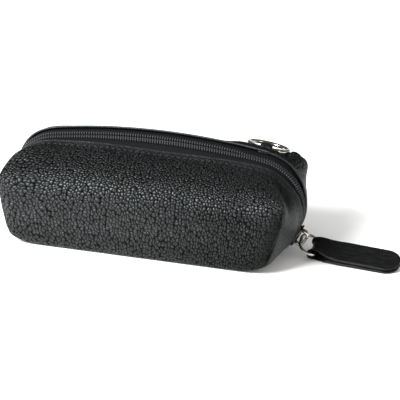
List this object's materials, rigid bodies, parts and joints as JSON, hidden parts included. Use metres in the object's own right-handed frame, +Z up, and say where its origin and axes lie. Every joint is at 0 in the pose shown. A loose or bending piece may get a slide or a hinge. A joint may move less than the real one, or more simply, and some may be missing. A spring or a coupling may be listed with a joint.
{
  "type": "fountain pen case",
  "caption": "Soft box-shaped leather pen case on a flat base; its front half opens once the zip slider with ring and leather pull is drawn, and a ring hangs at the back.",
  "frame": {"origin": "middle of the base's underside", "axes": "+X along the case towards the parked zip slider, +Z up, the front faces -Y"},
  "size_m": [0.2385, 0.0732, 0.0621],
  "materials": {
    "black_leather": "pebble grain, semi-matt",
    "pull_leather": "smooth grain, satin",
    "lining_cloth": "woven",
    "stiff_board": "raw board",
    "zip_cloth": "woven tape",
    "zip_nylon": "moulded",
    "nickel": "polished",
    "elastic": "ribbed"
  },
  "bodies": {
    "base": {"base_panel": "black_leather", "base_board": "stiff_board", "base_lining": "lining_cloth", "rear_panel": "black_leather", "rear_board": "stiff_board", "rear_lining": "lining_cloth", "rear_zip_tape": "zip_cloth", "rear_zip_coil": "zip_nylon", "right_end_tab": "zip_cloth", "left_end_tab": "zip_cloth", "zip_top_stops": "nickel", "zip_bottom_stop": "nickel", "ring_loop": "pull_leather", "pen_loops": "elastic"},
    "front_side": {"front_panel": "black_leather", "front_board": "stiff_board", "front_lining": "lining_cloth", "front_zip_tape": "zip_cloth", "front_zip_coil": "zip_nylon"},
    "slider": {"slider_body": "nickel", "slider_bridge": "nickel"},
    "pull_ring": {"pull_ring": "nickel"},
    "pull_tab": {"pull_tab": "pull_leather"},
    "hang_ring": {"hang_ring": "nickel"}
  },
  "joints": [
    {"name": "front_opening", "type": "hinge", "parent": "base", "child": "front_side", "pos_m": [0, -0.034, 0.0004], "axis": [1, 0, 0], "range_deg": [0, 40]},
    {"name": "slider_run", "type": "hinge", "parent": "base", "child": "slider", "pos_m": [0.0595, 0, 0.0265], "axis": [0, -1, 0], "range_deg": [0, 96]},
    {"name": "ring_swing", "type": "hinge", "parent": "slider", "child": "pull_ring", "pos_m": [0.08907, 0, 0.01013], "axis": [0, 0.9744, 0.225], "range_deg": [-60, 40]},
    {"name": "tab_swing", "type": "hinge", "parent": "pull_ring", "child": "pull_tab", "pos_m": [0.0995, -0.00129, 0.00461], "axis": [0, 0.9744, 0.225], "range_deg": [-50, 50]},
    {"name": "hang_ring_swing", "type": "hinge", "parent": "base", "child": "hang_ring", "pos_m": [0.06214, 0.01458, 0.05741], "axis": [0.9897, 0, -0.1429], "range_deg": [0, 132]}
  ]
}
